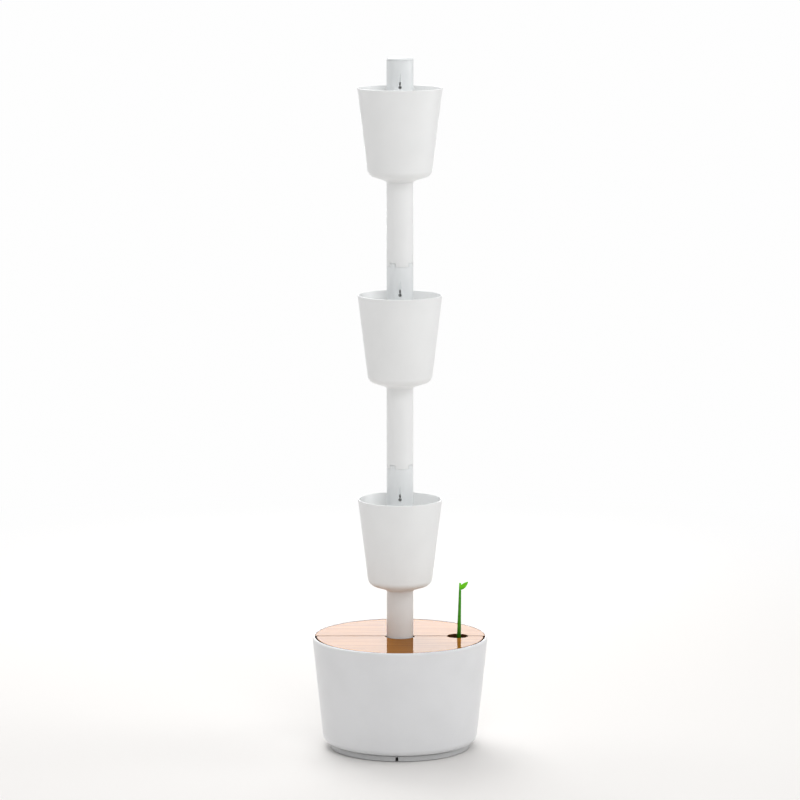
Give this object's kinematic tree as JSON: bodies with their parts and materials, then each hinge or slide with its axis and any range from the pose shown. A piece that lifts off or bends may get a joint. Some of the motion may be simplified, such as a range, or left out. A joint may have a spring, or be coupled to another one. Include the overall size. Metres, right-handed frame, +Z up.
{
  "type": "vertical self-watering planter",
  "caption": "Free-standing stacked planter: round water tank with wooden lid, pump and float gauge, and a keyed column that carries tapered pots with drip outlets.",
  "frame": {"origin": "on the floor at the centre of the underside, on the column's axis", "axes": "+Z up along the column, front with the drip outlets and the cable slot towards -Y, water gauge at +X"},
  "size_m": [0.3099, 0.31, 1.2228],
  "materials": {
    "white_shell": "satin moulded plastic",
    "pot_white": "satin moulded plastic",
    "column_white": "satin moulded plastic",
    "foot_grey": "fine-grained moulded plastic",
    "lid_wood": "clear-lacquered veneer, fine straight grain",
    "sprout_green": "satin dyed plastic",
    "float_white": "foamed plastic",
    "guide_dark": "fine-grained moulded plastic",
    "grate_grey": "moulded plastic",
    "pipe_grey": "moulded plastic",
    "hose_silicone": "translucent silicone",
    "pump_grey": "moulded plastic",
    "rotor_blue": "moulded plastic over magnet",
    "shaft_ceramic": "ground ceramic",
    "sponge_foam": "open foam",
    "dark_rubber": "moulded rubber",
    "black_cable": "cable jacket",
    "black_plastic": "moulded plastic",
    "board_green": "coated circuit board",
    "screw_steel": "zinc-plated steel"
  },
  "bodies": {
    "base": {"water_tank": "white_shell", "base_plate": "foot_grey", "rubber_feet": "dark_rubber", "plate_screws": "screw_steel", "column_post": "white_shell", "post_screws": "screw_steel", "base_riser": "pipe_grey", "delivery_hose": "hose_silicone", "pump_housing": "pump_grey", "pump_cover": "pump_grey", "rotor_shaft": "shaft_ceramic", "intake_grille": "pump_grey", "intake_sponge": "sponge_foam", "suction_cups": "dark_rubber", "pump_lead": "black_cable", "cable_gland": "black_plastic", "float_guide": "guide_dark", "guide_screws": "screw_steel", "control_board": "board_green", "board_screws": "screw_steel", "power_socket": "black_plastic"},
    "front_lid": {"lid_front": "lid_wood"},
    "back_lid": {"lid_back": "lid_wood"},
    "float": {"level_float": "float_white", "sprout": "sprout_green"},
    "rotor": {"pump_rotor": "rotor_blue"},
    "button": {"pair_button": "foot_grey"},
    "bottom_module": {"bottom_pot": "pot_white", "bottom_column": "column_white", "bottom_grate": "grate_grey", "bottom_riser": "pipe_grey", "bottom_seal": "dark_rubber"},
    "middle_module": {"middle_pot": "pot_white", "middle_column": "column_white", "middle_grate": "grate_grey", "middle_riser": "pipe_grey", "middle_seal": "dark_rubber"},
    "top_module": {"top_pot": "pot_white", "top_column": "column_white", "top_grate": "grate_grey", "top_riser": "pipe_grey", "top_seal": "dark_rubber"},
    "cap": {"top_cap": "column_white"}
  },
  "joints": [
    {"name": "float_level", "type": "slide", "parent": "base", "child": "float", "axis": [0, 0, 1], "range_m": [-0.09, 0]},
    {"name": "front_lid_lift", "type": "slide", "parent": "base", "child": "front_lid", "axis": [0, 0, 1], "range_m": [0, 0.06]},
    {"name": "back_lid_lift", "type": "slide", "parent": "base", "child": "back_lid", "axis": [0, 0, 1], "range_m": [0, 0.06]},
    {"name": "bottom_module_lift", "type": "slide", "parent": "base", "child": "bottom_module", "axis": [0, 0, 1], "range_m": [0, 0.06]},
    {"name": "middle_module_lift", "type": "slide", "parent": "bottom_module", "child": "middle_module", "axis": [0, 0, 1], "range_m": [0, 0.06]},
    {"name": "top_module_lift", "type": "slide", "parent": "middle_module", "child": "top_module", "axis": [0, 0, 1], "range_m": [0, 0.06]},
    {"name": "cap_lift", "type": "slide", "parent": "top_module", "child": "cap", "axis": [0, 0, 1], "range_m": [0, 0.04]},
    {"name": "rotor_spin", "type": "hinge", "parent": "base", "child": "rotor", "pos_m": [-0.08, 0, 0.069], "axis": [0, 1, 0], "continuous": true},
    {"name": "button_press", "type": "slide", "parent": "base", "child": "button", "axis": [0, 0, 1], "range_m": [0, 0.001], "stiffness_N_per_m": 400}
  ]
}
